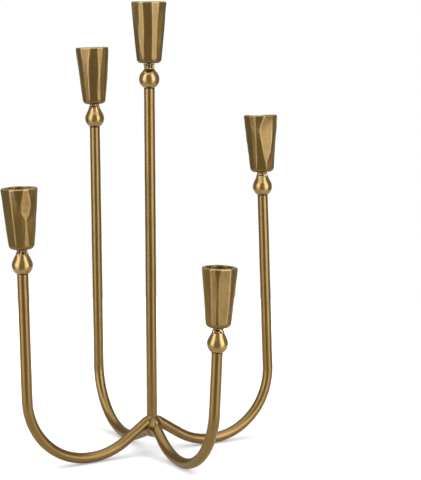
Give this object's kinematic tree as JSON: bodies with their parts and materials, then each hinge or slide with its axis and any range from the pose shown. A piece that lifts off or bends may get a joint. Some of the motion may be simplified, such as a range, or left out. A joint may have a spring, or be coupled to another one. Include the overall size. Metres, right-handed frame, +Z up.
{
  "type": "tabletop candelabra",
  "caption": "Tabletop candelabra: bent tube arms rise from a low welded hub around a straight stem, each tube ending in a drop-shaped collar and a faceted tapered cup for a taper candle.",
  "frame": {"origin": "on the stem's axis, on the surface that the four bends rest on", "axes": "+Z up the stem; +X and -X towards the wide pair of arms, -Y and +Y towards the narrow pair"},
  "size_m": [0.2946, 0.2684, 0.4276],
  "materials": {
    "tube_brass": "satin antique brass, drawn tube",
    "cup_brass": "cast and hand-faceted antique brass, satin with brighter worn edges",
    "collar_brass": "turned antique brass, semi-gloss",
    "fixing_steel": "plain zinc-plated steel, hidden"
  },
  "bodies": {
    "root": {"arm_tube_back": "tube_brass", "arm_tube_front": "tube_brass", "arm_tube_left": "tube_brass", "arm_tube_right": "tube_brass", "candle_cup_back": "cup_brass", "candle_cup_front": "cup_brass", "candle_cup_left": "cup_brass", "candle_cup_right": "cup_brass", "candle_cup_stem": "cup_brass", "collar_back": "collar_brass", "collar_front": "collar_brass", "collar_left": "collar_brass", "collar_right": "collar_brass", "collar_stem": "collar_brass", "cup_screw_back": "fixing_steel", "cup_screw_front": "fixing_steel", "cup_screw_left": "fixing_steel", "cup_screw_right": "fixing_steel", "cup_screw_stem": "fixing_steel", "hub_core": "tube_brass", "stem_tube": "tube_brass", "tube_insert_back": "fixing_steel", "tube_insert_front": "fixing_steel", "tube_insert_left": "fixing_steel", "tube_insert_right": "fixing_steel", "tube_insert_stem": "fixing_steel"}
  },
  "joints": []
}
